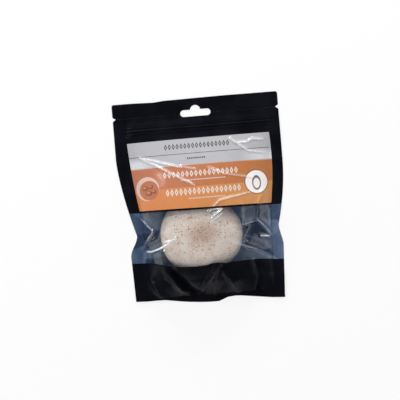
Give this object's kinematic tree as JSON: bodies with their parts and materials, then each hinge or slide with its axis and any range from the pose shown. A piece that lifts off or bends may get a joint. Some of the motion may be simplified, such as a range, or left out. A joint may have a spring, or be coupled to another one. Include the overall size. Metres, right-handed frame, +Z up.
{
  "type": "konjac sponge in a zip pouch",
  "caption": "Domed konjac face sponge in a flat-lying black zip pouch with a clear window band, a label, a tear-off header and a hang hole.",
  "frame": {"origin": "middle of the pouch's outline, on the surface it lies on", "axes": "+Z up through the pack's thickness, out of its front; +Y towards the header; +X to the right of the front"},
  "size_m": [0.161, 0.2, 0.033],
  "materials": {
    "black_film": "satin black laminated film",
    "clear_film": "clear glossy film",
    "label": "glossy printed sticker",
    "zip_track": "moulded press-to-close track",
    "sponge_gel": "moist porous konjac gel",
    "walnut": "ground shell"
  },
  "bodies": {
    "pouch": {"back_film": "black_film", "left_seal_upper": "black_film", "right_seal_upper": "black_film", "left_seal_window": "clear_film", "right_seal_window": "clear_film", "front_skirt": "black_film", "bottom_gusset": "black_film", "zip_back_track": "zip_track"},
    "front_flap": {"front_panel": "black_film", "front_window": "clear_film", "front_lip": "black_film", "front_label": "label", "zip_front_track": "zip_track"},
    "tear_strip": {"header_back_ply": "black_film", "header_front_ply": "black_film"},
    "sponge": {"sponge": "sponge_gel", "walnut_grains": "walnut"}
  },
  "joints": [
    {"name": "sponge_out", "type": "slide", "parent": "pouch", "child": "sponge", "axis": [0, 0.9997, 0.0262], "range_m": [0, 0.16]},
    {"name": "mouth_open", "type": "hinge", "parent": "pouch", "child": "front_flap", "pos_m": [0, -0.0605, 0.0288], "axis": [1, 0, 0], "range_deg": [0, 27.5]},
    {"name": "header_tear", "type": "slide", "parent": "pouch", "child": "tear_strip", "axis": [0, 1, 0], "range_m": [0, 0.04]}
  ],
  "couplings": [
    {"joint": "mouth_open", "follows": "sponge_out", "rad_per_m": 2.9671}
  ]
}
